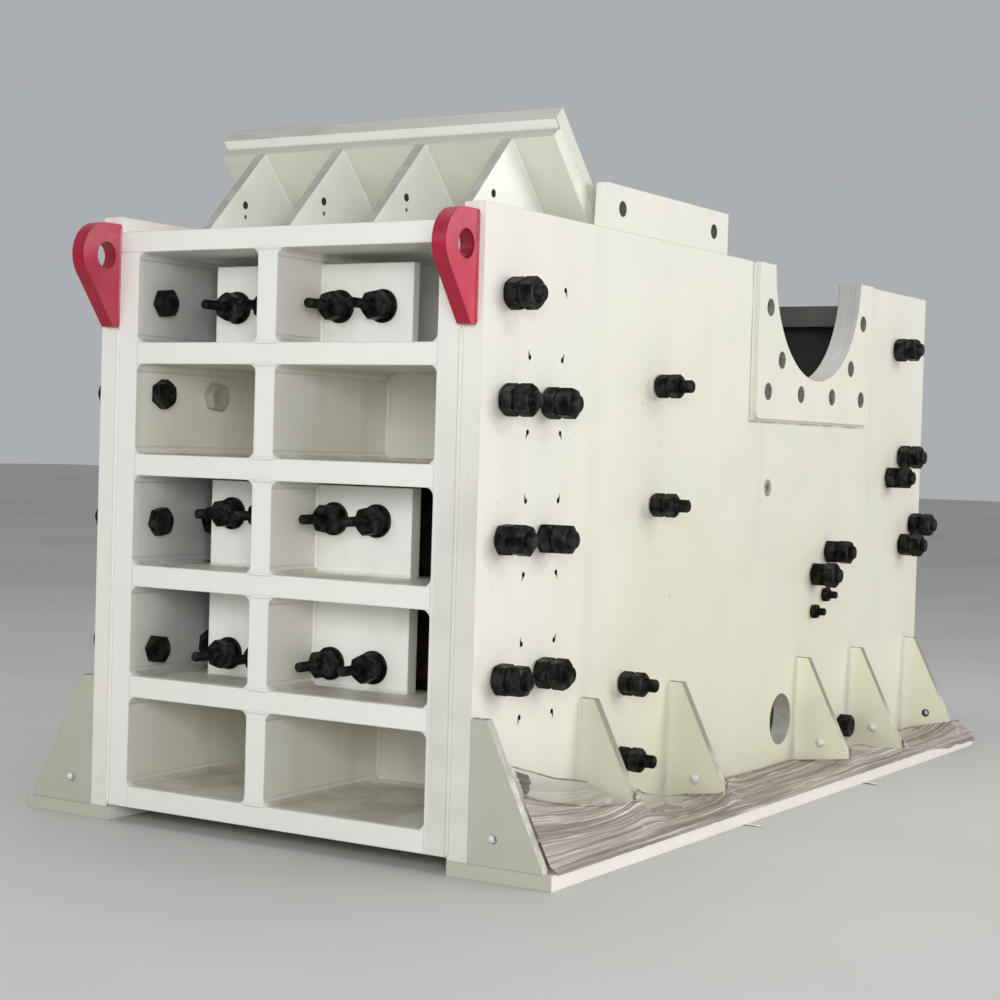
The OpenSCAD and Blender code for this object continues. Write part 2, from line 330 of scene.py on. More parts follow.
def pocket_paint(name):
    """cream on what shows, painted shade low on the near end, painted light on the other front faces,
    painted shade, greener and duller, deeper in the pockets and on their ceilings, brown dust on the shelves, dark
    primer made near-black as painted shade in the hollows behind the bolt plates"""
    g = Graph(name)
    x, y, z = g.xyz()
    nx, ny, nz = g.normal()
    base = paint_layers(g)
    outer = g.math("MULTIPLY", g.math("LESS_THAN", nx, -0.5), g.math("LESS_THAN", x, (4 - MID) / 1000.0))
    # painted shade on the near end's front face, lower down; painted light, lighter and cooler, on the other front
    # faces
    near_end = g.math("MULTIPLY", outer, g.ramp(y, -0.640, -0.665))
    low_end_shade = g.math("MULTIPLY", near_end, g.ramp(z, 1.78, 1.15))
    base = g.mix(g.math("MULTIPLY", low_end_shade, g.ramp(g.noise(4.0, 3.0), 0.3, 0.7, 0.35, 0.85)), base, (0.595, 0.575, 0.530))
    base = g.mix(g.math("MULTIPLY", g.math("SUBTRACT", outer, near_end), 0.6), base, (0.785, 0.800, 0.760))
    shade = g.ramp(x, (8 - MID) / 1000.0, (330 - MID) / 1000.0, 0.0, 0.75)
    base = g.mix(shade, base, (0.790, 0.785, 0.690))
    inner = g.ramp(x, (12 - MID) / 1000.0, (40 - MID) / 1000.0)
    # painted shade on the downward-facing faces of the pockets
    ceiling_shade = g.math("MULTIPLY", inner, g.math("LESS_THAN", nz, -0.5))
    base = g.mix(g.math("MULTIPLY", ceiling_shade, 0.35), base, (0.42, 0.44, 0.37))
    floor = g.math("MULTIPLY", inner, g.math("GREATER_THAN", nz, 0.5))
    dust = g.ramp(g.noise(5.0, 5.0, 0.65), 0.35, 0.65, 0.20, 0.70)
    base = g.mix(g.math("MULTIPLY", floor, dust), base, (0.42, 0.375, 0.31))
    wob = g.ramp(g.noise(6.0, 3.0), 0.3, 0.7, -0.03, 0.03)
    deep = g.math("ADD", wob, x)
    # dark primer in the hollows of rows three and four, made near-black as painted shade
    behind = None
    for row, start in ((3, 405), (4, 405)):
        lo = (SHELF_TOP - row * PITCH + SHELF_T - 3) / 1000.0
        hi = (SHELF_TOP - (row - 1) * PITCH + 3) / 1000.0
        band = g.math("MULTIPLY", g.math("GREATER_THAN", z, lo), g.math("LESS_THAN", z, hi))
        band = g.math("MULTIPLY", band, g.ramp(deep, (start - 25 - MID) / 1000.0, (start + 25 - MID) / 1000.0))
        behind = band if behind is None else g.math("MAXIMUM", behind, band)
    prim = g.mix(g.ramp(g.noise(4.0, 4.0, 0.6), 0.4, 0.7), (0.030, 0.018, 0.015), (0.060, 0.040, 0.034))
    far_wall = g.math("MULTIPLY", inner, g.math("MULTIPLY", g.math("LESS_THAN", ny, -0.5), g.math("GREATER_THAN", y, 0.3)))
    behind = g.math("MULTIPLY", behind, g.math("SUBTRACT", 1.0, far_wall))
    base = g.mix(behind, base, prim)
    # painted shade on the far side wall of the top row and of rows three and four; painted light behind the top row's
    # plates
    top_row = g.math("MULTIPLY", g.math("GREATER_THAN", z, (SHELF_TOP - PITCH + SHELF_T - 3) / 1000.0), g.math("LESS_THAN", z, (SHELF_TOP + 3) / 1000.0))
    lower = g.math("MULTIPLY", g.math("GREATER_THAN", z, (SHELF_TOP - 4 * PITCH + SHELF_T - 3) / 1000.0), g.math("LESS_THAN", z, (SHELF_TOP - 2 * PITCH + 3) / 1000.0))
    wall = g.math("MULTIPLY", far_wall, top_row)
    far_wall_shade = g.math("MULTIPLY", far_wall, g.math("MAXIMUM", top_row, lower))
    base = g.mix(g.math("MULTIPLY", far_wall_shade, g.ramp(x, (20 - MID) / 1000.0, (270 - MID) / 1000.0, 0.25, 0.85)), base, (0.420, 0.455, 0.445))
    top_row_light = g.math("MULTIPLY", g.math("SUBTRACT", top_row, wall), g.ramp(x, (266 - MID) / 1000.0, (330 - MID) / 1000.0, 0.0, 0.9))
    base = g.mix(top_row_light, base, (0.900, 0.895, 0.860))
    # painted light: the front faces of the bolt plates are painted lighter
    plate = g.math("MULTIPLY", g.math("LESS_THAN", nx, -0.5), g.math("GREATER_THAN", x, (PLATE_X - 8 - MID) / 1000.0))
    plate = g.math("MULTIPLY", plate, g.math("LESS_THAN", x, (PLATE_X + 8 - MID) / 1000.0))
    base = g.mix(g.math("MULTIPLY", plate, 0.8), base, (0.905, 0.900, 0.865))
    # painted light: the second row's far side wall is painted a little lighter and warmer
    row_two = g.math("MULTIPLY", g.math("GREATER_THAN", z, (SHELF_TOP - 2 * PITCH + SHELF_T - 3) / 1000.0), g.math("LESS_THAN", z, (SHELF_TOP - PITCH + 3) / 1000.0))
    wall_two_light = g.math("MULTIPLY", row_two, far_wall)
    base = g.mix(g.math("MULTIPLY", wall_two_light, g.ramp(g.noise(3.0, 3.0), 0.3, 0.7, 0.5, 0.9)), base, (0.900, 0.885, 0.780))
    streak = g.noise(1.0, 3.0, 0.6, stretch=(5.0, 5.0, 1.6))
    base = g.mix(g.math("MULTIPLY", g.ramp(streak, 0.50, 0.75, 0.0, 0.22), g.ramp(x, (60 - MID) / 1000.0, (320 - MID) / 1000.0)), base, (0.40, 0.35, 0.27))
    g.color(base)
    g.set(g.bsdf.inputs["Roughness"], g.math("ADD", g.ramp(g.noise(4.0, 4.0), 0.3, 0.7, 0.36, 0.52), g.math("MULTIPLY", behind, 0.2)))
    paint_surface(g, 0.007)
    return g


def gusset_paint():
    """cream, with brown dirt on the sloped edges, painted shade, darker and greener, on the faces that look forward,
    and painted light on the forward faces of the later ones
    """
    g = Graph("cream_paint_gussets")
    x, y, z = g.xyz()
    nx, ny, nz = g.normal()
    base = paint_layers(g)
    # painted shade: the faces that look forward are painted darker and greener
    ahead = g.math("LESS_THAN", nx, -0.5)
    mid = g.math("MULTIPLY", g.ramp(g.math("ABSOLUTE", y), 0.83, 0.90), g.ramp(g.noise(1.6, 2.0), 0.3, 0.7, 0.35, 0.80))
    base = g.mix(g.math("MULTIPLY", ahead, mid), base, (0.580, 0.575, 0.430))
    # painted light: the forward faces of the later ones are painted lighter, most near the side plate
    painted_light = g.mix(g.ramp(g.math("ABSOLUTE", y), 0.83, 0.90), (0.930, 0.920, 0.790), (0.860, 0.850, 0.665))
    rear = g.math("MULTIPLY", g.math("GREATER_THAN", x, (1000 - MID) / 1000.0), g.ramp(x, (1300 - MID) / 1000.0, (2650 - MID) / 1000.0, 0.40, 0.95))
    base = g.mix(g.math("MULTIPLY", ahead, rear), base, painted_light)
    # painted shade: the front gusset's forward face is painted darker grey-green
    first = g.math("MULTIPLY", ahead, g.math("LESS_THAN", x, (20 - MID) / 1000.0))
    base = g.mix(g.math("MULTIPLY", first, 0.90), base, (0.410, 0.415, 0.335))
    slope = g.math("GREATER_THAN", nz, 0.3)
    dirt = g.ramp(g.noise(14.0, 5.0, 0.7, stretch=(1.0, 1.0, 0.5)), 0.40, 0.62, 0.10, 0.80)
    later = g.math("GREATER_THAN", x, (400 - MID) / 1000.0)
    high = g.mix(later, g.ramp(z, 0.36, 0.47, 0.0, 0.55), g.ramp(z, 0.17, 0.32, 0.0, 0.88))
    dirt = g.math("MAXIMUM", g.math("MULTIPLY", dirt, 0.8), high)
    base = g.mix(g.math("MULTIPLY", slope, dirt), base, (0.230, 0.208, 0.170))
    base = g.mix(g.math("MULTIPLY", g.math("GREATER_THAN", nz, 0.9), g.math("GREATER_THAN", z, 0.5)), base, (0.190, 0.172, 0.145))
    # the walls of the small holes
    hole = g.math("MULTIPLY", g.math("LESS_THAN", g.math("ABSOLUTE", nx), 0.5), g.math("LESS_THAN", g.math("ABSOLUTE", g.math("SUBTRACT", z, 0.152)), 0.030))
    hole = g.math("MULTIPLY", hole, g.math("LESS_THAN", g.math("ABSOLUTE", g.math("SUBTRACT", g.math("ABSOLUTE", y), 0.934)), 0.032))
    base = g.mix(hole, base, (0.88, 0.88, 0.86))
    # painted shade: the last one's open hole is painted black
    dy = g.math("SUBTRACT", g.math("ABSOLUTE", y), 0.950)
    dz = g.math("SUBTRACT", z, 0.158)
    ring = g.math("LESS_THAN", g.math("ADD", g.math("MULTIPLY", dy, dy), g.math("MULTIPLY", dz, dz)), 0.019 * 0.019)
    last = g.math("GREATER_THAN", x, (3900 - MID) / 1000.0)
    base = g.mix(g.math("MULTIPLY", ring, last), base, (0.030, 0.030, 0.027))
    g.color(base)
    g.set(g.bsdf.inputs["Roughness"], g.ramp(g.noise(4.0, 4.0), 0.3, 0.7, 0.36, 0.52))
    paint_surface(g, 0.004)
    return g


def deflector_paint():
    """cream front with painted shade on the faces that look down and painted light near the top edge, grey upper ends
    of the two layers
    """
    g = Graph("cream_paint_deflector")
    x, y, z = g.xyz()
    nx, ny, nz = g.normal()
    base = paint_layers(g)
    end = g.math("MULTIPLY", g.math("LESS_THAN", nx, -0.3), g.math("GREATER_THAN", nz, 0.3))
    # painted shade on the faces that look down
    under = g.math("LESS_THAN", nz, -0.3)
    base = g.mix(g.math("MULTIPLY", under, g.ramp(g.noise(3.0, 4.0), 0.3, 0.7, 0.45, 0.90)), base, (0.630, 0.645, 0.550))
    # painted light: the faces that look down near the top edge are painted lighter
    lip_light = g.math("MULTIPLY", under, g.math("GREATER_THAN", z, 2.527))
    base = g.mix(g.math("MULTIPLY", lip_light, 0.95), base, (0.900, 0.905, 0.860))
    # the line between the two layers, on their ends
    gap = g.math("MULTIPLY", g.math("SUBTRACT", x, (960 - MID) / 1000.0), -0.7214)
    gap = g.math("ADD", gap, g.math("MULTIPLY", g.math("SUBTRACT", z, DECK / 1000.0), -0.6925))
    side = g.math("GREATER_THAN", g.math("ABSOLUTE", ny), 0.7)
    base = g.mix(g.math("MULTIPLY", side, g.math("LESS_THAN", gap, 0.0)), base, g.mix(0.35, base, (0.52, 0.52, 0.45)))
    base = g.mix(g.math("MULTIPLY", side, g.ramp(g.math("ABSOLUTE", gap), 0.006, 0.003)), base, (0.22, 0.21, 0.18))
    cloud = g.ramp(g.noise(6.0, 5.0, 0.65, stretch=(1.0, 0.35, 1.0)), 0.35, 0.65)
    grey = g.mix(cloud, (0.300, 0.300, 0.275), (0.385, 0.385, 0.350))
    base = g.mix(g.math("MULTIPLY", end, 0.9), base, grey)
    base = g.mix(g.math("MULTIPLY", end, g.ramp(z, 2.545, 2.535, 0.0, 0.7)), base, (0.470, 0.478, 0.415))
    g.color(base)
    g.set(g.bsdf.inputs["Roughness"], g.ramp(g.noise(4.0, 4.0), 0.3, 0.7, 0.36, 0.52))
    paint_surface(g, 0.005)
    return g


def rib_paint():
    """light grey-cream, painted lighter than the other cream as painted light; darker grey sloped edges; holes painted
    dark as painted shade
    """
    g = Graph("cream_paint_ribs")
    x, y, z = g.xyz()
    nx, ny, nz = g.normal()
    # painted light: the ribs are painted lighter than the other cream
    base = g.mix(0.85, paint_layers(g), (0.905, 0.912, 0.870))
    base = g.mix(g.ramp(g.noise(3.5, 3.0), 0.48, 0.72, 0.0, 0.45), base, (0.760, 0.780, 0.690))
    slope = g.math("MULTIPLY", g.math("GREATER_THAN", nz, 0.3), g.math("LESS_THAN", g.math("ABSOLUTE", ny), 0.5))
    dust = g.mix(g.ramp(g.noise(9.0, 4.0, 0.65), 0.35, 0.7), (0.270, 0.280, 0.230), (0.360, 0.368, 0.310))
    base = g.mix(slope, base, dust)
    # painted shade in the two holes
    base = g.mix(near_any(g, [(448, 2287)], 0.0150), base, (0.075, 0.075, 0.070))
    base = g.mix(near_any(g, [(450, 2243)], 0.0082), base, (0.250, 0.250, 0.235))
    g.color(base)
    g.set(g.bsdf.inputs["Roughness"], g.ramp(g.noise(4.0, 4.0), 0.3, 0.7, 0.36, 0.52))
    paint_surface(g, 0.004)
    return g


def tab_paint():
    """cream, with the walls of the two holes painted dark grey as painted shade"""
    g = Graph("cream_paint_tabs")
    base = g.mix(near_any(g, [(933, 2280), (1699, 2280)], 0.0290), paint_layers(g), (0.150, 0.150, 0.145))
    g.color(base)
    g.set(g.bsdf.inputs["Roughness"], g.ramp(g.noise(4.0, 4.0), 0.3, 0.7, 0.34, 0.50))
    paint_surface(g, 0.004)
    return g


def flange_paint():
    g = Graph("cream_paint_flange")
    x, y, z = g.xyz()
    nx, ny, nz = g.normal()
    base = paint_layers(g)
    # painted shade on the forward face, darker grey-green; painted light on the faces that look to the sides, painted
    # lighter
    ahead = g.math("LESS_THAN", nx, -0.5)
    base = g.mix(g.math("MULTIPLY", ahead, 0.90), base, (0.430, 0.435, 0.355))
    base = g.mix(g.math("MULTIPLY", g.math("GREATER_THAN", g.math("ABSOLUTE", ny), 0.7), 0.8), base, (0.850, 0.820, 0.775))
    top = g.math("MULTIPLY", g.ramp(z, 0.0484, 0.0497), g.math("GREATER_THAN", g.math("ABSOLUTE", y), 0.8195))
    top = g.math("MULTIPLY", top, g.ramp(g.math("ABSOLUTE", y), 1.129, 1.126))
    top = g.math("MULTIPLY", top, g.ramp(x, (20 - MID) / 1000.0, (160 - MID) / 1000.0, 0.45, 1.0))
    dirt = g.mix(g.ramp(g.noise(6.0, 5.0, 0.65), 0.35, 0.7), (0.200, 0.165, 0.140), (0.35, 0.305, 0.265))
    base = g.mix(top, base, dirt)
    g.color(base)
    g.set(g.bsdf.inputs["Roughness"], g.math("ADD", g.ramp(g.noise(4.0, 4.0), 0.3, 0.7, 0.34, 0.50), g.math("MULTIPLY", top, 0.2)))
    paint_surface(g, 0.005)
    return g


def red_paint():
    """crimson, paler on the flat faces and towards the top as painted light"""
    g = Graph("red_paint")
    x, y, z = g.xyz()
    nx, ny, nz = g.normal()
    base = g.mix(g.ramp(g.noise(6.0, 4.0), 0.35, 0.7), (0.370, 0.006, 0.029), (0.270, 0.004, 0.020))
    face = g.math("GREATER_THAN", g.math("ABSOLUTE", ny), 0.6)
    painted_light = g.mix(g.ramp(z, 1.95, 2.12), (0.560, 0.040, 0.080), (0.600, 0.105, 0.145))
    base = g.mix(g.math("MULTIPLY", face, g.ramp(g.noise(5.0, 3.0), 0.3, 0.65, 0.55, 1.0)), base, painted_light)
    worn = g.math("MULTIPLY", g.ramp(g.noise(34.0, 4.0, 0.6), 0.60, 0.70), g.ramp(g.noise(7.0, 2.0), 0.5, 0.65))
    base = g.mix(worn, base, (0.20, 0.07, 0.05))
    g.color(base)
    g.set(g.bsdf.inputs["Roughness"], g.ramp(g.noise(9.0, 3.0), 0.3, 0.7, 0.26, 0.40))
    paint_surface(g, 0.006)
    return g


def cast_steel(name, a, b, rough=0.62):
    g = Graph(name)
    base = g.mix(g.ramp(g.noise(3.0, 6.0, 0.65), 0.35, 0.68), a, b)
    base = g.mix(g.ramp(g.noise(19.0, 4.0, 0.6), 0.62, 0.75, 0.0, 0.7), base, (0.17, 0.075, 0.038))
    g.color(base)
    g.set(g.bsdf.inputs["Roughness"], g.ramp(g.noise(8.0, 4.0), 0.3, 0.7, rough - 0.1, rough + 0.12))
    g.bsdf.inputs["Metallic"].default_value = 0.25
    n = g.bump(g.noise(26.0, 5.0, 0.65), 0.006, 0.5, g.soft_edges(0.006))
    n = g.bump(g.noise(120.0, 3.0, 0.6), 0.002, 0.35, n)
    g.link(n, g.bsdf.inputs["Normal"])
    return g


def primer_material(name, a, b):
    g = Graph(name)
    base = g.mix(g.ramp(g.noise(2.4, 5.0, 0.6), 0.35, 0.68), a, b)
    g.color(base)
    g.set(g.bsdf.inputs["Roughness"], g.ramp(g.noise(5.0, 4.0), 0.3, 0.7, 0.55, 0.72))
    paint_surface(g, 0.005)
    return g


def black_bolt(name="black_bolt", a=(0.0022, 0.0022, 0.0022), b=(0.0230, 0.0215, 0.0180), rough=(0.42, 0.64)):
    g = Graph(name)
    base = g.mix(g.ramp(g.noise(30.0, 4.0, 0.6), 0.42, 0.75), a, b)
    g.color(base)
    g.set(g.bsdf.inputs["Roughness"], g.ramp(g.noise(55.0, 3.0), 0.35, 0.7, *rough))
    g.set(g.bsdf.inputs["Specular IOR Level"], g.ramp(g.noise(24.0, 3.0), 0.40, 0.66, 0.07, 0.34))
    n = g.bump(g.noise(240.0, 3.0, 0.6), 0.0008, 0.4, g.soft_edges(0.0015))
    g.link(n, g.bsdf.inputs["Normal"])
    return g


def film(name, painted_light, mid, dark, alpha, rough):
    """wrinkled film: long streaks along the foot, the light ones painted highlights, brown where dust lies under it and
    as painted reflection of the dark surroundings
    """
    g = Graph(name)
    # how far up the film: outward distance less height, so that streaks run along the foot
    x, y, z = g.xyz()
    run = g.math("SUBTRACT", g.math("ABSOLUTE", y), z)
    both = g.node("ShaderNodeCombineXYZ")
    g.link(x, both.inputs[0])
    g.link(run, both.inputs[1])
    g.coord = both.outputs[0]
    fine = g.noise(1.0, 4.0, 0.6, stretch=(1.3, 95.0, 1.0), distort=0.08)
    wide = g.noise(1.0, 3.0, 0.6, stretch=(0.8, 30.0, 1.0), distort=0.10)
    base = g.mix(g.ramp(wide, 0.38, 0.62), mid, dark)
    # painted highlight: light streaks along the wrinkles
    base = g.mix(g.ramp(fine, 0.50, 0.68), base, painted_light)
    base = g.mix(g.ramp(g.noise(1.0, 3.0, 0.6, stretch=(1.1, 70.0, 1.0)), 0.56, 0.66, 0.0, 0.50), base, dark)
    g.color(base)
    g.bsdf.inputs["Roughness"].default_value = rough
    g.set(g.bsdf.inputs["Alpha"], g.ramp(fine, 0.35, 0.65, alpha - 0.06, min(1.0, alpha + 0.08)))
    n = g.bump(g.noise(1.0, 3.0, 0.6, stretch=(2.5, 140.0, 1.0)), 0.004, 0.5)
    g.link(n, g.bsdf.inputs["Normal"])
    return g


M_SIDE = side_plate_paint().mat
M_CREAM = cream("cream_paint").mat
M_POCKET = pocket_paint("cream_paint_pockets").mat
M_FLANGE = flange_paint().mat
M_RED = red_paint().mat
M_JAW = cast_steel("cast_jaw_steel", (0.075, 0.070, 0.066), (0.150, 0.142, 0.134)).mat
# dark primer inside, kept near-black as painted shade
M_INSIDE = primer_material("inner_primer_and_shade", (0.070, 0.062, 0.056), (0.120, 0.110, 0.098)).mat
# painted shade: the cream of the inner beams is painted grey
M_BEAM_SHADE = primer_material("inner_beam_painted_shade", (0.480, 0.470, 0.415), (0.580, 0.565, 0.505)).mat
# painted shade: the rear top beam's cream is painted dark grey
M_TOP_BEAM_SHADE = primer_material("top_beam_painted_shade", (0.075, 0.074, 0.067), (0.115, 0.113, 0.102)).mat
# painted shade: the web below the rear top beam is painted near-black
M_WEB_SHADE = primer_material("web_painted_shade", (0.020, 0.019, 0.018), (0.038, 0.036, 0.033)).mat
M_GUSSET = gusset_paint().mat
M_DEFLECTOR = deflector_paint().mat
M_RIBS = rib_paint().mat
M_TAB = tab_paint().mat
M_DULL = primer_material("dull_cream_bolt", (0.400, 0.375, 0.300), (0.500, 0.475, 0.395)).mat
M_BOLT = black_bolt().mat
M_OIL = black_bolt("dried_oil", (0.030, 0.025, 0.020), (0.070, 0.060, 0.048), (0.30, 0.50)).mat
# film with light streaks as painted highlights, brown-grey from dust and painted reflection
M_FILM = film("film_dust_and_reflection", (0.690, 0.640, 0.590), (0.460, 0.410, 0.365), (0.235, 0.195, 0.168), 0.90, 0.26).mat
M_FILM_CLEAR = film("film_clear", (0.70, 0.66, 0.61), (0.62, 0.58, 0.53), (0.48, 0.43, 0.39), 0.30, 0.20).mat
# painted shade: a dark patch on the flap
M_FILM_SHADE = film("film_painted_shade", (0.150, 0.115, 0.095), (0.085, 0.060, 0.047), (0.055, 0.037, 0.028), 0.90, 0.32).mat
M_TAPE = primer_material("white_tape", (0.74, 0.72, 0.71), (0.82, 0.80, 0.79)).mat

for name, o in nodes.items():
    if name.startswith("side_plate") or name.startswith("saddle_plate"):
        m = M_SIDE
    elif name.startswith("lifting_lug"):
        m = M_RED
    elif name.startswith("foot_flange"):
        m = M_FLANGE
    elif name in ("fixed_jaw_plate", "toggle_seat") or name.startswith("cheek_plates"):
        m = M_JAW
    elif name == "rear_top_beam":
        m = M_TOP_BEAM_SHADE
    elif name in ("lower_cross_beam", "rear_base_beam"):
        m = M_BEAM_SHADE
    elif name == "rear_top_web":
        m = M_WEB_SHADE
    elif name in ("toggle_housing", "toggle_housing_ribs"):
        m = M_INSIDE
    elif name.startswith("foot_gussets"):
        m = M_GUSSET
    elif name in ("deflector_plate", "deflector_liner"):
        m = M_DEFLECTOR
    elif name == "deflector_ribs":
        m = M_RIBS
    elif name.startswith("top_tab"):
        m = M_TAB
    elif name.startswith("front_") or name in ("pocket_bolt_plates", "jaw_support_plate"):
        m = M_POCKET
    else:
        m = M_CREAM
    o.data.materials.clear()
    o.data.materials.append(m)


# ------------------------------------------------------------------ mesh making
class Build:
    """gathers closed solids and sheets into one mesh"""

    def __init__(self):
        self.v, self.f, self.m, self.n = [], [], [], 0

    def add(self, verts, faces, mat=0):
        verts = np.asarray(verts, float)
        self.v.append(verts)
        self.f.extend([tuple(i + self.n for i in fc) for fc in faces])
        self.m.extend([mat] * len(faces))
        self.n += len(verts)

    def make(self, name, mats, slot, sharp=38, solid=True):
        me = bpy.data.meshes.new(name)
        me.from_pydata(put(np.vstack(self.v)).tolist(), [], self.f)
        for m in mats:
            me.materials.append(m)
        me.polygons.foreach_set("material_index", self.m)
        if solid:
            bm = bmesh.new()
            bm.from_mesh(me)
            bmesh.ops.recalc_face_normals(bm, faces=bm.faces)
            bm.to_mesh(me)
            bm.free()
        me.shade_smooth()
        if sharp:
            me.set_sharp_from_angle(angle=math.radians(sharp))
        me.update()
        o = bpy.data.objects.new(name, me)
        scene.collection.objects.link(o)
        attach(o, "root")
        return o


NEAR = np.array([[1, 0, 0], [0, 0, -1], [0, 1, 0]], float)      # columns: local x, y, z; z is the bolt's axis
FAR = np.array([[-1, 0, 0], [0, 0, 1], [0, 1, 0]], float)
FRONT = np.array([[0, 0, -1], [1, 0, 0], [0, -1, 0]], float)


def turned(points, spin):
    c, s = math.cos(spin), math.sin(spin)
    return np.column_stack((points[:, 0] * c - points[:, 1] * s, points[:, 0] * s + points[:, 1] * c, points[:, 2]))


def placed(points, at, axes, spin=0.0):
    return turned(np.asarray(points, float), spin) @ axes.T + np.asarray(at, float)


def loft(rings, ring_closed=False, caps=(False, False)):
    """quads between rings of equal length; a ring_closed loft is a torus; caps close the ends with a fan"""
    n, count = len(rings[0]), len(rings)
    verts = [np.asarray(r, float) for r in rings]
    faces = []
    for r in range(count if ring_closed else count - 1):
        a, b = r * n, ((r + 1) % count) * n
        for i in range(n):
            j = (i + 1) % n
            faces.append((a + i, a + j, b + j, b + i))
    total = n * count
    for end, which in ((0, caps[0]), (count - 1, caps[1])):
        if which is not False:
            centre = verts[end].mean(0) if which is True else np.asarray(which, float)
            verts.append(centre.reshape(1, 3))
            for i in range(n):
                j = (i + 1) % n
                faces.append((end * n + j, end * n + i, total) if end == 0 else (end * n + i, end * n + j, total))
            total += 1
    return np.vstack(verts), faces


def circle_ring(r, z, n):
    a = np.arange(n) * 2 * math.pi / n
    r = np.broadcast_to(np.asarray(r, float), (n,))
    z = np.broadcast_to(np.asarray(z, float), (n,))
    return np.column_stack((r * np.cos(a), r * np.sin(a), z))


def hex_nut(B, at, axes, af, h, bore, z0=0.0, spin=0.0, n=36, mat=0):
    a = np.arange(n) * 2 * math.pi / n
    r = af / 2 / np.cos((a % (math.pi / 3)) - math.pi / 6)
    rc = 0.93 * af / 2
    ch = (r - rc) * math.tan(math.radians(32))
    rb = bore / 2
    rings = [circle_ring(rb + 2, z0, n), circle_ring(rc, z0, n), circle_ring(r, z0 + ch, n), circle_ring(r, z0 + h - ch, n),
             circle_ring(rc, z0 + h, n), circle_ring(rb + 2, z0 + h, n), circle_ring(rb - 0.3, z0 + h - 2, n),
             circle_ring(rb - 0.3, z0 + 2, n)]
    v, f = loft(rings, ring_closed=True)
    B.add(placed(v, at, axes, spin), f, mat)


def hex_head(B, at, axes, af, h, spin=0.0, n=36, mat=0, dish=2.0):
    a = np.arange(n) * 2 * math.pi / n
    r = af / 2 / np.cos((a % (math.pi / 3)) - math.pi / 6)
    rc = 0.94 * af / 2
    ch = (r - rc) * math.tan(math.radians(30))
    rings = [circle_ring(rc, -2, n), circle_ring(rc, 3, n), circle_ring(r, 3, n), circle_ring(r, h - ch, n), circle_ring(rc, h, n),
             circle_ring(rc * 0.86, h, n), circle_ring(rc * 0.80, h - dish, n)]
    v, f = loft(rings, caps=((0, 0, -2), (0, 0, h - dish)))
    B.add(placed(v, at, axes, spin), f, mat)


def washer(B, at, axes, od, bore, t, z0=0.0, n=40, mat=0):
    ro, ri = od / 2, bore / 2
    e = min(1.6, t / 4)
    rings = [circle_ring(ri, z0, n), circle_ring(ro, z0, n), circle_ring(ro, z0 + t - e, n), circle_ring(ro - e, z0 + t, n),
             circle_ring(ri, z0 + t, n)]
    v, f = loft(rings, ring_closed=True)
    B.add(placed(v, at, axes), f, mat)


def stud(B, at, axes, dia, z0, z1, pitch, spin=0.0, n=20, mat=0, per=4):
    """a threaded stud from z0 to z1 with a chamfered, slightly crowned end"""
    r, depth = dia / 2, 0.55 * pitch
    a = np.arange(n) * 2 * math.pi / n
    rings = []
    z = z0
    step = pitch / per
    while z < z1 - 0.6 * pitch:
        phase = (z / pitch - a / (2 * math.pi)) % 1.0
        tooth = np.abs(phase * 2 - 1)
        rings.append(circle_ring(r - depth * (1 - tooth), z, n))
        z += step
    rings.append(circle_ring(r - depth * 0.9, z1 - 0.6 * pitch, n))
    rings.append(circle_ring(r - depth * 0.9, z1 - 0.5 * pitch, n))
    rings.append(circle_ring(r - depth - 1.5, z1, n))
    v, f = loft(rings, caps=((0, 0, z0), (0, 0, z1 + 0.8)))
    B.add(placed(v, at, axes, spin), f, mat)


# ------------------------------------------------------------------ side bolts


def side_bolts(side):
    rng = random.Random(11 if side < 0 else 12)
    axes = NEAR if side < 0 else FAR
    B, W = Build(), Build()
    face = side * HALF
    for x, z in TYPE_A:
        at = (x, face, z)
        s = [rng.uniform(0, 1.047) for _ in range(3)]
        hex_nut(B, at, axes, 96, 55, 64, 0.0, s[0])
        hex_nut(B, at, axes, 96, 55, 64, 55.4, s[1])
        stud(B, at, axes, 64, 30, 110 + rng.uniform(17, 22), 6, s[2])
    for x, z in TYPE_B:
        at = (x, face, z)
        s = [0.5236 + rng.uniform(-0.16, 0.16) for _ in range(3)]
        washer(W, at, axes, 108, 54, 8)
        hex_nut(B, at, axes, 78, 48, 50, 8.0, s[0])
        hex_nut(B, at, axes, 78, 48, 50, 56.4, s[1])
        stud(B, at, axes, 50, 40, 153 + rng.uniform(-3, 3), 5, s[2])
    for x, z in TYPE_C:
        at = (x, face, z)
        s = [rng.uniform(0, 1.047) for _ in range(3)]
        washer(W, at, axes, 66, 38, 6)
        hex_nut(B, at, axes, 56, 30, 36, 6.0, s[0])
        stud(B, at, axes, 34, 20, 36 + 34 + rng.uniform(-3, 3), 4, s[2])
    hex_head(B, (3198, face, 170), axes, 88, 60, 0.42)         # a single short one between two gussets
    tag = "near" if side < 0 else "far"
    B.make("side_studs_and_nuts_" + tag, [M_BOLT], "black_bolt")
    W.make("side_washers_" + tag, [M_CREAM], "cream_paint")


side_bolts(-1)
side_bolts(1)


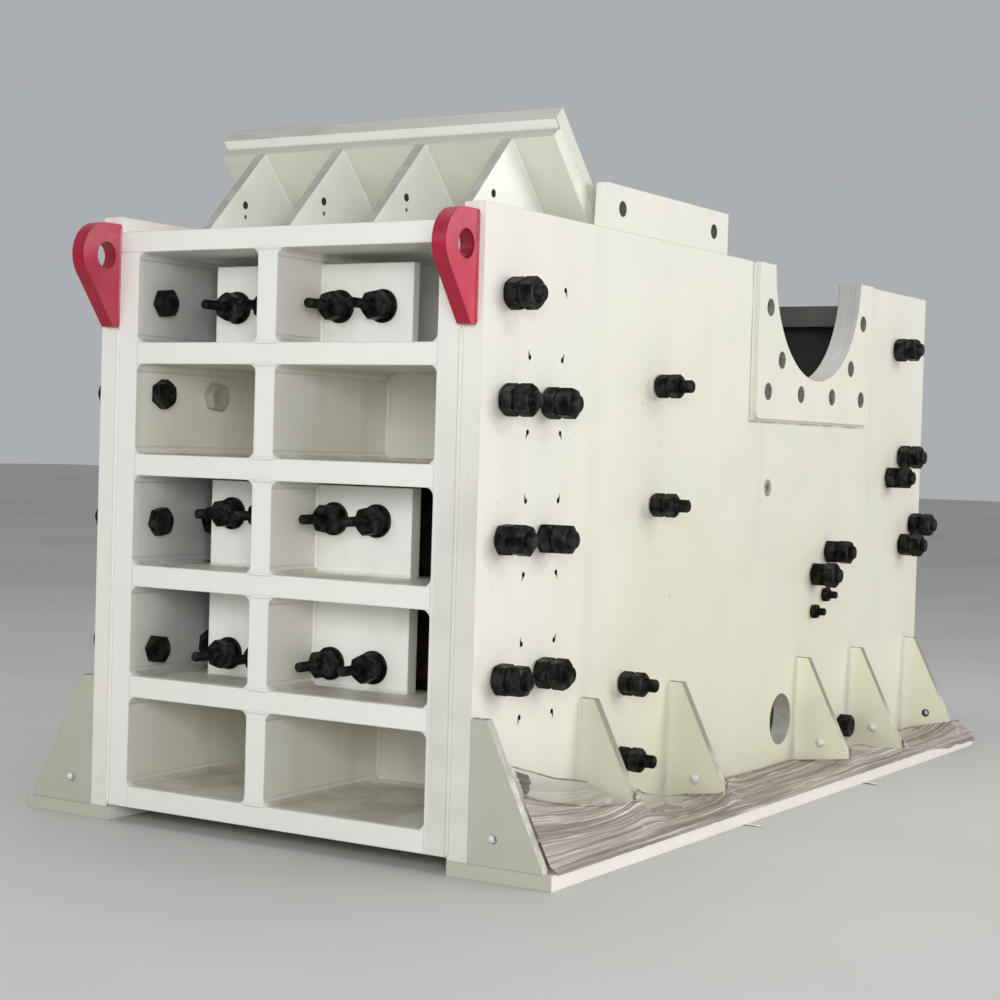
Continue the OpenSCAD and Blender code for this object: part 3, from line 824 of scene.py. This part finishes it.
# ------------------------------------------------------------------ bolts of the front wall
def front_bolts():
    rng = random.Random(21)
    B, H = Build(), Build()
    for z in (1886, 1135, 621):
        for y in (-244, -60, 230, 402):
            at = (PLATE_X, y, z)
            s = [rng.uniform(0, 1.047) for _ in range(3)]
            washer(B, at, FRONT, 118, 40, 12)
            hex_nut(B, at, FRONT, 92, 62, 36, 12.4, s[0])
            stud(B, at, FRONT, 36, 30, 195 + rng.uniform(-5, 5), 4.0, s[2], n=18, per=3)
    for side, first in ((1, 130), (-1, 155)):
        axes = NEAR if side > 0 else FAR          # heads face the middle
        face = side * (INNER - STILE)
        for x, z, painted in ((first, 1896, 0), (first, 1563, 0), (430, 1563, 1), (first, 1096, 0), (430, 1096, 0),
                              (first, 627, 0), (430, 627, 0)):
            hex_head(H, (x, face, z), axes, 95, 40, rng.uniform(0, 1.047), mat=painted)
    B.make("jaw_bolts", [M_BOLT], "black_bolt")
    H.make("stile_bolt_heads", [M_BOLT, M_DULL], "black_bolt")


front_bolts()


# ------------------------------------------------------------------ welds and cast fillets
def bead(B, path, u, v, leg=9.0, rng=None, step=10.0, mat=0):
    """a rippled fillet weld along path: u and v point away from the corner along the two faces"""
    path = [np.asarray(p, float) for p in path]
    u, v = np.asarray(u, float), np.asarray(v, float)
    rng = rng or random.Random(5)
    pts = []
    for a, b in zip(path[:-1], path[1:]):
        n = max(2, int(np.linalg.norm(b - a) / step))
        for i in range(n):
            pts.append(a + (b - a) * i / n)
    pts.append(path[-1])
    rings = []
    seed = rng.uniform(0, 99)
    for i, p in enumerate(pts):
        k = leg * (1 + 0.13 * noise.noise(Vector((i * 0.9, seed, 0.0))) + 0.09 * math.sin(i * 2.1 + seed))
        if i in (0, len(pts) - 1):
            k *= 0.6
        w = [(-1.0, -1.0), (k, -1.0), (k, 0.12 * k), (0.62 * k, 0.50 * k), (0.50 * k, 0.62 * k), (0.12 * k, k), (-1.0, k)]
        rings.append([p + u * a + v * b for a, b in w])
    vv, f = loft(rings, caps=(True, True))
    B.add(vv, f, mat)


def strip_bead(B, path, out, across, half=7.0, high=5.0, rng=None, step=10.0, mat=0):
    """a low flat bead over a butt joint: out is the face's normal, across lies in the face"""
    path = [np.asarray(p, float) for p in path]
    out, across = np.asarray(out, float), np.asarray(across, float)
    rng = rng or random.Random(6)
    seed = rng.uniform(0, 99)
    pts = []
    for a, b in zip(path[:-1], path[1:]):
        n = max(2, int(np.linalg.norm(b - a) / step))
        for i in range(n):
            pts.append(a + (b - a) * i / n)
    pts.append(path[-1])
    rings = []
    for i, p in enumerate(pts):
        k = 1 + 0.16 * noise.noise(Vector((i * 0.8, seed, 3.0))) + 0.10 * math.sin(i * 2.3 + seed)
        if i in (0, len(pts) - 1):
            k *= 0.5
        w = [(-half * k, -1.0), (half * k, -1.0), (half * 0.92 * k, high * 0.35 * k), (half * 0.5 * k, high * 0.9 * k), (0, high * k),
             (-half * 0.5 * k, high * 0.9 * k), (-half * 0.92 * k, high * 0.35 * k)]
        rings.append([p + across * a + out * b for a, b in w])
    vv, f = loft(rings, caps=(True, True))
    B.add(vv, f, mat)


def side_welds(side):
    rng = random.Random(31 if side < 0 else 32)
    B = Build()
    s = side
    face = s * HALF
    o = (0, s, 0)
    for i, gx in enumerate(GUSSETS):
        for edge, d in ((gx, -1), (gx + 36, 1)):
            if edge <= 0:
                continue
            bead(B, [(edge, face, 56), (edge, face, 520)], (d, 0, 0), o, 8, rng)
            bead(B, [(edge, face + s * 8, 50), (edge, face + s * 276, 50)], (d, 0, 0), (0, 0, 1), 8, rng)
        strip_bead(B, [(gx + 2, face + s * 29, 523.5), (gx + 34, face + s * 29, 523.5)], (0, 0, 1), (0, 1, 0), 3, 1.2, rng, 6)
    stops = GUSSETS + [4165]
    for a, b in zip(stops[:-1], stops[1:]):
        if b - a > 60:
            bead(B, [(a + 46, face, 50), (b - 10 if b < 4165 else b - 2, face, 50)], o, (0, 0, 1), 10, rng)
    # round the raised saddle plate, whose lower corners are rounded
    x0, x1, z0, z1, r = 2099, 3383, 1555, 2196, 40
    for a, b, d in (((x0, z1), (x0, z0 + r), (-1, 0)), ((x0 + r, z0), (x1 - r, z0), (0, -1)), ((x1, z0 + r), (x1, z1), (1, 0))):
        bead(B, [(a[0], face, a[1]), (b[0], face, b[1])], (d[0], 0, d[1]), o, 9, rng)
    for cx, a0 in ((x0 + r, math.pi), (x1 - r, 1.5 * math.pi)):
        prev = None
        rings = []
        for k in range(9):
            a = a0 + k * math.pi / 16
            d = np.array([math.cos(a), 0, math.sin(a)])
            p = np.array([cx, face, z0 + r]) + d * r
            q = 9 * (1 + 0.06 * math.sin(k * 2.0))
            oo = np.array(o, float)
            rings.append([p + d * i + oo * j for i, j in ((-1, -1), (q, -1), (q, 0.12 * q), (0.62 * q, 0.5 * q), (0.5 * q, 0.62 * q),
                                                          (0.12 * q, q), (-1, q))])
        v, f = loft(rings, caps=(True, True))
        B.add(v, f)
    # top tab, inner edge
    bead(B, [(806, s * (HALF - 45), 2200), (1824, s * (HALF - 45), 2200)], (0, -s, 0), (0, 0, 1), 9, rng)
    B.make("side_welds_" + ("near" if s < 0 else "far"), [M_CREAM], "cream_paint")


side_welds(-1)
side_welds(1)


def front_welds():
    rng = random.Random(41)
    B = Build()
    low = SHELF_TOP - 5 * PITCH
    for s in (-1, 1):
        # the joint between the wall's stile and the side plate's front edge
        strip_bead(B, [(0, s * INNER, low + 4), (0, s * INNER, 1792)], (-1, 0, 0), (0, 1, 0), 9, 6, rng)
        # deck to side plate
        bead(B, [(6, s * INNER, DECK), (952, s * INNER, DECK)], (0, -s, 0), (0, 0, 1), 10, rng)
        # lug to the plate's edge, both faces
        bead(B, [(0, s * (HALF - 25), 1806), (0, s * (HALF - 25), 2170)], (-1, 0, 0), (0, s, 0), 5, rng, 7, mat=1)
        bead(B, [(0, s * INNER, 1806), (0, s * INNER, 2170)], (-1, 0, 0), (0, -s, 0), 5, rng, 7, mat=1)
        # lowest shelf to the foot of the plate
        bead(B, [(4, s * INNER, low), (680, s * INNER, low)], (0, -s, 0), (0, 0, -1), 9, rng)
    rows = [(SHELF_TOP - i * PITCH + SHELF_T, SHELF_TOP - (i - 1) * PITCH) for i in range(1, 6)]
    cols = [(-INNER + STILE, MULLION[0]), (MULLION[1], INNER - STILE)]
    for i, (z0, z1) in enumerate(rows):
        for y0, y1 in cols:
            # the back of each pocket, where the seat plate meets its sides
            bead(B, [(POCKET, y0, z0 + 20), (POCKET, y0, z1 - 20)], (0, 1, 0), (-1, 0, 0), 12, rng, 14)
            bead(B, [(POCKET, y1, z0 + 20), (POCKET, y1, z1 - 20)], (0, -1, 0), (-1, 0, 0), 12, rng, 14)
            bead(B, [(POCKET, y0 + 12, z0), (POCKET, y1 - 12, z0)], (0, 0, 1), (-1, 0, 0), 12, rng, 14)
        if i + 1 in BOLT_PLATES:
            end, gap = BOLT_PLATES[i + 1]
            for a, b, m in ((end, MULLION[0], MULLION[0]), (MULLION[1], 1322 - HALF, MULLION[1])):
                d = -1 if m == MULLION[0] else 1
                bead(B, [(PLATE_X, a + 4, z0), (PLATE_X, b - 4, z0)], (-1, 0, 0), (0, 0, 1), 10, rng)
                bead(B, [(PLATE_X, m, z0 + 8), (PLATE_X, m, z1 - gap - 3)], (-1, 0, 0), (0, d, 0), 10, rng)
    # where the upright crosses the shelves, on the front face
    for i in range(1, 6):
        z = SHELF_TOP - i * PITCH
        for zz in ((z, z + SHELF_T) if i < 5 else (z + SHELF_T,)):
            strip_bead(B, [(0, MULLION[0] - 4, zz), (0, MULLION[1] + 4, zz)], (-1, 0, 0), (0, 0, 1), 7, 3.5, rng, 8)
    strip_bead(B, [(0, MULLION[0] - 4, SHELF_TOP), (0, MULLION[1] + 4, SHELF_TOP)], (-1, 0, 0), (0, 0, 1), 7, 3.5, rng, 8)
    B.make("front_welds", [M_POCKET, M_RED], "cream_paint")

    # the rounded corners of the ten pockets
    C = Build()
    for z0, z1 in rows:
        for y0, y1 in cols:
            for y, dy in ((y0, 1), (y1, -1)):
                for z, dz in ((z0, 1), (z1, -1)):
                    r = 30.0
                    prof = [(-1.0, -1.0), (r, -1.0)]
                    for k in range(7):
                        a = -math.pi / 2 - k * math.pi / 12
                        prof.append((r + r * math.cos(a), r + r * math.sin(a)))
                    prof.append((-1.0, r))
                    rings = []
                    for x, grow in ((0.4, 5.0), (7.0, 0.0), (120.0, 0.0), (POCKET - 0.5, 0.0)):
                        rings.append([(x, y + dy * (a - grow * 0.0), z + dz * b) for a, b in prof])
                    v, f = loft(rings, caps=((0.4, y + dy * 5.0, z + dz * 5.0), (POCKET - 0.5, y + dy * 5.0, z + dz * 5.0)))
                    C.add(v, f)
    C.make("pocket_corner_fillets", [M_POCKET], "cream_paint", sharp=30)


front_welds()


def top_welds():
    rng = random.Random(51)
    B = Build()
    L = math.hypot(96.0, 100.0)
    u = np.array([-96.0 / L, 0, 100.0 / L])           # up along the slope
    nrm = np.array([-100.0 / L, 0, -96.0 / L])        # out of its front face
    joint = np.array([960.0, 0, DECK])                # where the face between the layers meets the deck
    foot = joint + np.array([-48.0 * L / 100.0, 0, 0])
    top = joint + u * 530.0 + nrm * 48.0
    f0 = foot[0]
    for i in range(4):
        y = (i - 1.5) * 366
        for e, d in ((y - 20, -1), (y + 20, 1)):
            bead(B, [(232, e, DECK), (f0 - 8, e, DECK)], (0, d, 0), (0, 0, 1), 8, rng)
            at = np.array([0, e, 0])
            bead(B, [foot + at + u * 12, top + at - u * 4], (0, d, 0), nrm, 5, rng)
        bead(B, [(226, y - 18, DECK), (226, y + 18, DECK)], (-1, 0, 0), (0, 0, 1), 7, rng, 8)
    stops = [-INNER] + [(i - 1.5) * 366 for i in range(4)] + [INNER]
    for a, b in zip(stops[:-1], stops[1:]):
        bead(B, [(f0, a + 24, DECK), (f0, b - 24, DECK)], (-1, 0, 0), u, 9, rng)
    # the liner's edge on the plate's upper end
    p = joint + u * 530.0
    bead(B, [p + np.array([0, -INNER + 2, 0]), p + np.array([0, INNER - 2, 0])], u, nrm, 4, rng, mat=1)
    for s in (-1, 1):
        at = np.array([0, s * INNER, 0])
        strip_bead(B, [joint + at + u * 132, joint + at + u * 526], (0, s, 0), nrm, 4, 2.0, rng)
    B.make("deflector_welds", [M_RIBS, M_DEFLECTOR], "cream_paint")


top_welds()


# ------------------------------------------------------------------ runs of rustproofing oil at the tapped holes
def drips():
    """short curved runs at the tapped holes: up and outward from the upper ones, down from the lower"""
    rng = random.Random(61)
    B = Build()
    for side in (-1, 1):
        for x, z in [(a, b) for a in (305, 525) for p in TAPS for b in p] + [(534, 1953)]:
            up = 1 if z in (1711, 1227, 744) else -1
            out = -1 if x == 305 else 1
            long = rng.uniform(15, 21)
            n = 8
            rings = []
            for k in range(n):
                t = k / (n - 1)
                zz = z + up * (5.0 + t * long)
                xx = x + out * (4.0 + 9.0 * t - 5.0 * t * t)
                r = 4.0 * (1 - 0.70 * t)
                rings.append([(xx + r * math.cos(a), side * (HALF + 0.7 * r * max(-0.4, math.sin(a))), zz) for a in np.arange(8) * math.pi / 4])
            v, f = loft(rings, caps=(True, True))
            B.add(v, f)
    B.make("oil_runs", [M_OIL], "black_bolt")


drips()


# ------------------------------------------------------------------ wrapping film on the feet
def tube(B, pts, radius, n=6, mat=0, seed=0.0):
    pts = np.asarray(pts, float)
    rings = []
    for i, p in enumerate(pts):
        t = pts[min(i + 1, len(pts) - 1)] - pts[max(i - 1, 0)]
        t /= np.linalg.norm(t) + 1e-9
        a = np.cross(t, (0, 0, 1.0))
        a /= np.linalg.norm(a) + 1e-9
        b = np.cross(t, a)
        r = radius * (1 + 0.45 * noise.noise(Vector((i * 0.35, seed, 1.0))))
        rings.append([p + (a * math.cos(k * 2 * math.pi / n) + b * math.sin(k * 2 * math.pi / n)) * r for k in range(n)])
    v, f = loft(rings, caps=(True, True))
    B.add(v, f, mat)


LINE = np.array([
    # x, distance out from the side plate's face, height: the film's inner line
    (36, 180, 286), (168, 150, 252), (310, 132, 219), (480, 122, 187), (620, 145, 166), (700, 190, 170), (722, 232, 178),
    (764, 214, 214), (880, 175, 182), (990, 130, 160), (1190, 100, 121), (1330, 92, 103), (1398, 92, 96), (1417, 262, 116),
    (1458, 243, 152), (1500, 222, 136), (1620, 150, 110), (1850, 62, 90), (2040, 8, 76), (2330, 8, 73), (2640, 10, 73),
    (2657, 268, 94), (2698, 252, 134), (2760, 240, 150), (2833, 228, 144), (2990, 228, 116), (3120, 238, 92), (3270, 268, 74),
    (3283, 285, 76), (3323, 262, 112), (3480, 170, 92), (3700, 70, 78), (3985, 40, 74), (3998, 255, 124), (4038, 255, 124),
    (4100, 236, 118), (4160, 240, 112)], float)
FLAP = np.array([(36, 134, 376), (156, 112, 346), (244, 96, 326), (431, 71, 279), (614, 50, 247), (722, 40, 226)], float)


def gusset_weight(x):
    w = 0.0
    for g in GUSSETS:
        d = max(g - x, x - (g + 36), 0.0)
        w = max(w, 1.0 - min(1.0, d / 230.0))
    return w * w * (3 - 2 * w)


def foot_film(side):
    s = side
    seed = 7.0 if side < 0 else 19.0
    B = Build()
    xs = np.unique(np.concatenate([[36.3], np.arange(45, 4160, 13.0), LINE[1:, 0]]))
    cols = 74
    t = np.linspace(0, 1, cols)
    grid = np.zeros((len(xs), cols, 3))
    for i, x in enumerate(xs):
        out, z = np.interp(x, LINE[:, 0], LINE[:, 1]), np.interp(x, LINE[:, 0], LINE[:, 2])
        sag = 0.0
        g = gusset_weight(x)
        E = np.array([FLANGE_OUT - 3 + 2.5 * noise.noise(Vector((x / 60.0, seed, 0))), 53.0])
        F = np.array([out, z])
        flat = np.array([out + 0.30 * (FLANGE_OUT - out) * min(1.0, (z - 60) / 60.0) + 14, 54.0])
        taut = np.interp(x, [36, 725, 1050, 1400, 1600, 2600, 2760, 3285, 3400], [1.0, 1.0, 0.75, 0.45, 0.15, 0.0, 0.35, 0.25, 0.0])
        chord = E + (F - E) * 0.42 + np.array([-7.0, -7.0])
        flat = flat * (1 - taut) + chord * taut
        C = flat * (1 - g) + np.array([289.0, 74.0]) * g
        tc = 0.25 + 0.30 * (1 - g)
        prof = np.where((t < tc)[:, None], E + (C - E) * (t / tc)[:, None], C + (F - C) * ((t - tc) / (1 - tc))[:, None])
        for _ in range(int(10 * (1 - g)) + 2):
            prof[1:-1] = (prof[:-2] + 2 * prof[1:-1] + prof[2:]) / 4
        # the film just covers the flange's edge, and hangs over it near the rear
        over = 0.16 + 0.05 * noise.noise(Vector((x / 45.0, seed + 44, 0)))
        over += min(1.0, max(0.0, (x - 3560.0) / 260.0)) * (0.60 + 0.5 * noise.noise(Vector((x / 120.0, seed + 50, 0))))
        for j in range(8):
            q = 1.0 - j / 7.0
            prof[j] = [max(prof[j][0], 318.8 + 2.2 * q), 53.0 - 34.0 * over * q]
        d = np.gradient(prof, axis=0)
        d /= np.linalg.norm(d, axis=1)[:, None] + 1e-9
        nrm = np.column_stack((-d[:, 1], d[:, 0]))
        nrm[nrm[:, 1] + 0.5 * nrm[:, 0] < 0] *= -1
        arc = np.concatenate([[0], np.cumsum(np.linalg.norm(np.diff(prof, axis=0), axis=1))])
        for j in range(cols):
            a = arc[j]
            slant = a + 0.045 * x
            w = (abs(noise.noise(Vector((x / 430.0, slant / 17.0, seed)))) * 11.0
                 + abs(noise.noise(Vector((x / 170.0, slant / 34.0, seed + 5)))) * 9.0
                 + noise.noise(Vector((x / 70.0, a / 8.0, seed + 9))) * 1.4 + 1.6)
            w *= (1.0 - 0.55 * g) * min(1.0, 0.05 + (x - 36.0) / 120.0)
            edge = min(1.0, j / 4.0) * min(1.0, (cols - 1 - j) / 3.0)
            if x > 3940:                    # bunched at the rear end
                w += abs(noise.noise(Vector((x / 38.0, a / 22.0, seed + 60)))) * 26.0 * min(1.0, (x - 3940) / 60.0)
            w = 1.5 + (w * (0.35 + 0.65 * edge))
            q = prof[j] + nrm[j] * w
            sway = 4.0 * noise.noise(Vector((x / 90.0, a / 60.0, seed + 3))) * min(1.0, (x - 36.3) / 60.0)
            grid[i, j] = (x + sway, s * (HALF + max(q[0], 1.5)), max(q[1], 51.6 if q[0] < 318.6 else 6.0))
    n = len(xs)
    idx = np.arange(n * cols).reshape(n, cols)
    faces, thin = [], []
    for i in range(n - 1):
        for j in range(cols - 1):
            f = (idx[i, j], idx[i + 1, j], idx[i + 1, j + 1], idx[i, j + 1])
            faces.append(tuple(int(k) for k in (f if s > 0 else f[::-1])))
            # the strip next to the inner line of the second bay carries no dust
            bare = 0.64 + 0.05 * noise.noise(Vector((xs[i] / 90.0, seed + 40, 0)))
            thin.append(1 if 775 < xs[i] < 1400 and t[j] > bare + 0.3 * max(0.0, (xs[i] - 1180) / 220.0) else 0)
    B.add(grid.reshape(-1, 3), faces, 0)
    B.m[-len(faces):] = thin
    # the clear flap in the first bay, from the inner line up to its bunched edge
    xf = np.concatenate([[36.4], np.arange(49, 721, 13.0)])
    m = 16
    flap = np.zeros((len(xf), m, 3))
    for i, x in enumerate(xf):
        a = np.array([np.interp(x, LINE[:, 0], LINE[:, 1]), np.interp(x, LINE[:, 0], LINE[:, 2])])
        b = np.array([np.interp(x, FLAP[:, 0], FLAP[:, 1]), np.interp(x, FLAP[:, 0], FLAP[:, 2])])
        for j in range(m):
            k = j / (m - 1)
            p = a + (b - a) * k
            w = abs(noise.noise(Vector((x / 210.0, k * 6.0, seed + 31)))) * 13.0 * math.sin(math.pi * k)
            flap[i, j] = (x, s * (HALF + p[0] + w + 2.0), p[1] + 2.0)
    start = idx.size
    idf = np.arange(len(xf) * m).reshape(len(xf), m)
    clear, dark = [], []
    for i in range(len(xf) - 1):
        for j in range(m - 1):
            f = (idf[i, j], idf[i + 1, j], idf[i + 1, j + 1], idf[i, j + 1])
            f = tuple(int(k) for k in (f if s > 0 else f[::-1]))
            k = j / (m - 1)
            x = xf[i]
            # painted shade: a dark patch on the flap next to the front gusset
            (dark if k < 0.86 and x < 178 - 60 * (k - 0.5) ** 2 and x - 36 < 150 * (0.25 + 1.1 * k) and x > 40 else clear).append(f)
    B.add(flap.reshape(-1, 3), clear + dark, 0)
    B.m[-(len(clear) + len(dark)):] = [1] * len(clear) + [2] * len(dark)
    o = B.make("foot_film_" + ("near" if s < 0 else "far"), [M_FILM, M_FILM_CLEAR, M_FILM_SHADE], "clear_film", sharp=0, solid=False)
    # bunched edges of the film
    R = Build()
    pts = []
    for x in np.arange(37, 4158, 16.0):
        g = gusset_weight(x)
        pts.append((x, s * (HALF + np.interp(x, LINE[:, 0], LINE[:, 1]) + 5.5), np.interp(x, LINE[:, 0], LINE[:, 2]) + 4.0))
    tube(R, pts, 3.2, seed=seed)
    pts = [(x, s * (HALF + np.interp(x, FLAP[:, 0], FLAP[:, 1]) + 3.0), np.interp(x, FLAP[:, 0], FLAP[:, 2]) + 3.0) for x in np.arange(38, 722, 16.0)]
    tube(R, pts, 3.0, seed=seed + 2)
    e = R.make("foot_film_edges_" + ("near" if s < 0 else "far"), [M_FILM], "clear_film", sharp=0)


foot_film(-1)
foot_film(1)


def film_tails():
    """two ends of tape that come out from under the near foot"""
    B = Build()
    for x0, lean, seed in ((1470.0, 8.0, 3.0), (2702.0, -5.0, 8.0)):
        rings = []
        for k in range(13):
            t = k / 12
            out = FLANGE_OUT - 6 + 74 * t
            lift = 1.2 + 3.0 * abs(math.sin(3.1 * t)) + 1.5 * noise.noise(Vector((t * 3, seed, 0)))
            row_top = [(x0 + lean * t + (q - 2) * 7.0, -(HALF + out), max(0.6, lift + 1.2 * math.sin(q * 1.7 + seed + 2 * t)) + 0.9) for q in range(5)]
            row_low = [(a, b, c - 0.8) for a, b, c in row_top[::-1]]
            rings.append(row_top + row_low)
        v, f = loft(rings, caps=(True, True))
        B.add(v, f)
    B.make("foot_tape_ends", [M_TAPE], "clear_film", sharp=60)


film_tails()


def film_knots():
    """knots of film drawn through the small holes of the gussets"""
    B = Build()
    for s in (-1, 1):
        for i, gx in enumerate(GUSSETS[:5]):
            y0, z0 = (97.0, 141.0) if i == 0 else (130.0, 161.0)
            rings = []
            n = 14
            for k in range(9):
                t = k / 8
                out = 4.0 - 30.0 * t                       # from inside the hole to the front of the knot
                r = (8.0 + 10.5 * math.sin(math.pi * min(1.0, t * 1.15))) * (1.0 - 0.55 * max(0.0, t - 0.8) / 0.2) * (0.62 if i == 0 else 1.0)
                ring = []
                for j in range(n):
                    a = j * 2 * math.pi / n
                    q = r * (1 + 0.38 * noise.noise(Vector((math.cos(a) * 1.7, math.sin(a) * 1.7, t * 2.5 + i * 3.1 + s))))
                    ring.append((gx + out, s * (HALF + y0 + q * 1.05 * math.cos(a)), z0 + q * 1.05 * math.sin(a) + 4.0 * t))
                rings.append(ring)
            v, f = loft(rings, caps=(True, True))
            B.add(v, f)
    B.make("foot_film_knots", [M_TAPE], "clear_film", sharp=50)


film_knots()


# ------------------------------------------------------------------ floor, light
def stage():
    me = bpy.data.meshes.new("floor")
    k = 60.0
    me.from_pydata([(-k, -k, 0), (k, -k, 0), (k, k, 0), (-k, k, 0)], [], [(0, 1, 2, 3)])
    o = bpy.data.objects.new("floor", me)
    scene.collection.objects.link(o)
    g = Graph("pale_floor")
    g.color(g.mix(g.ramp(g.noise(0.35, 4.0), 0.3, 0.7), (0.50, 0.495, 0.48), (0.56, 0.555, 0.54)))
    g.bsdf.inputs["Roughness"].default_value = 0.7
    me.materials.append(g.mat)

    w = bpy.data.worlds.new("studio")
    scene.world = w
    w.use_nodes = True
    bg = w.node_tree.nodes["Background"]
    bg.inputs["Color"].default_value = (0.90, 0.93, 0.96, 1.0)
    bg.inputs["Strength"].default_value = 0.46

    def area(name, at, target, size, power, color=(1, 1, 1)):
        li = bpy.data.lights.new(name, "AREA")
        li.shape = "RECTANGLE"
        li.size, li.size_y = size
        li.energy = power
        li.color = color
        ob = bpy.data.objects.new(name, li)
        scene.collection.objects.link(ob)
        ob.location = at
        ob.rotation_euler = (Vector(target) - Vector(at)).to_track_quat("-Z", "Y").to_euler()

    area("key", (2.9, -13.0, 3.6), (0.9, -0.8, 0.8), (8.0, 5.0), 800, (1.0, 0.98, 0.955))
    area("front", (-12.0, 1.5, 4.5), (-2.0, 0.0, 1.3), (6.0, 4.0), 270, (0.96, 1.0, 0.99))
    area("fill", (-8.6, -5.4, 2.6), (-1.6, -0.4, 1.2), (3.0, 2.4), 300, (1.0, 1.0, 1.0))
    area("top", (0.5, 0.0, 8.5), (0.5, 0.0, 0.0), (8.0, 6.0), 260, (1.0, 1.0, 1.0))


stage()
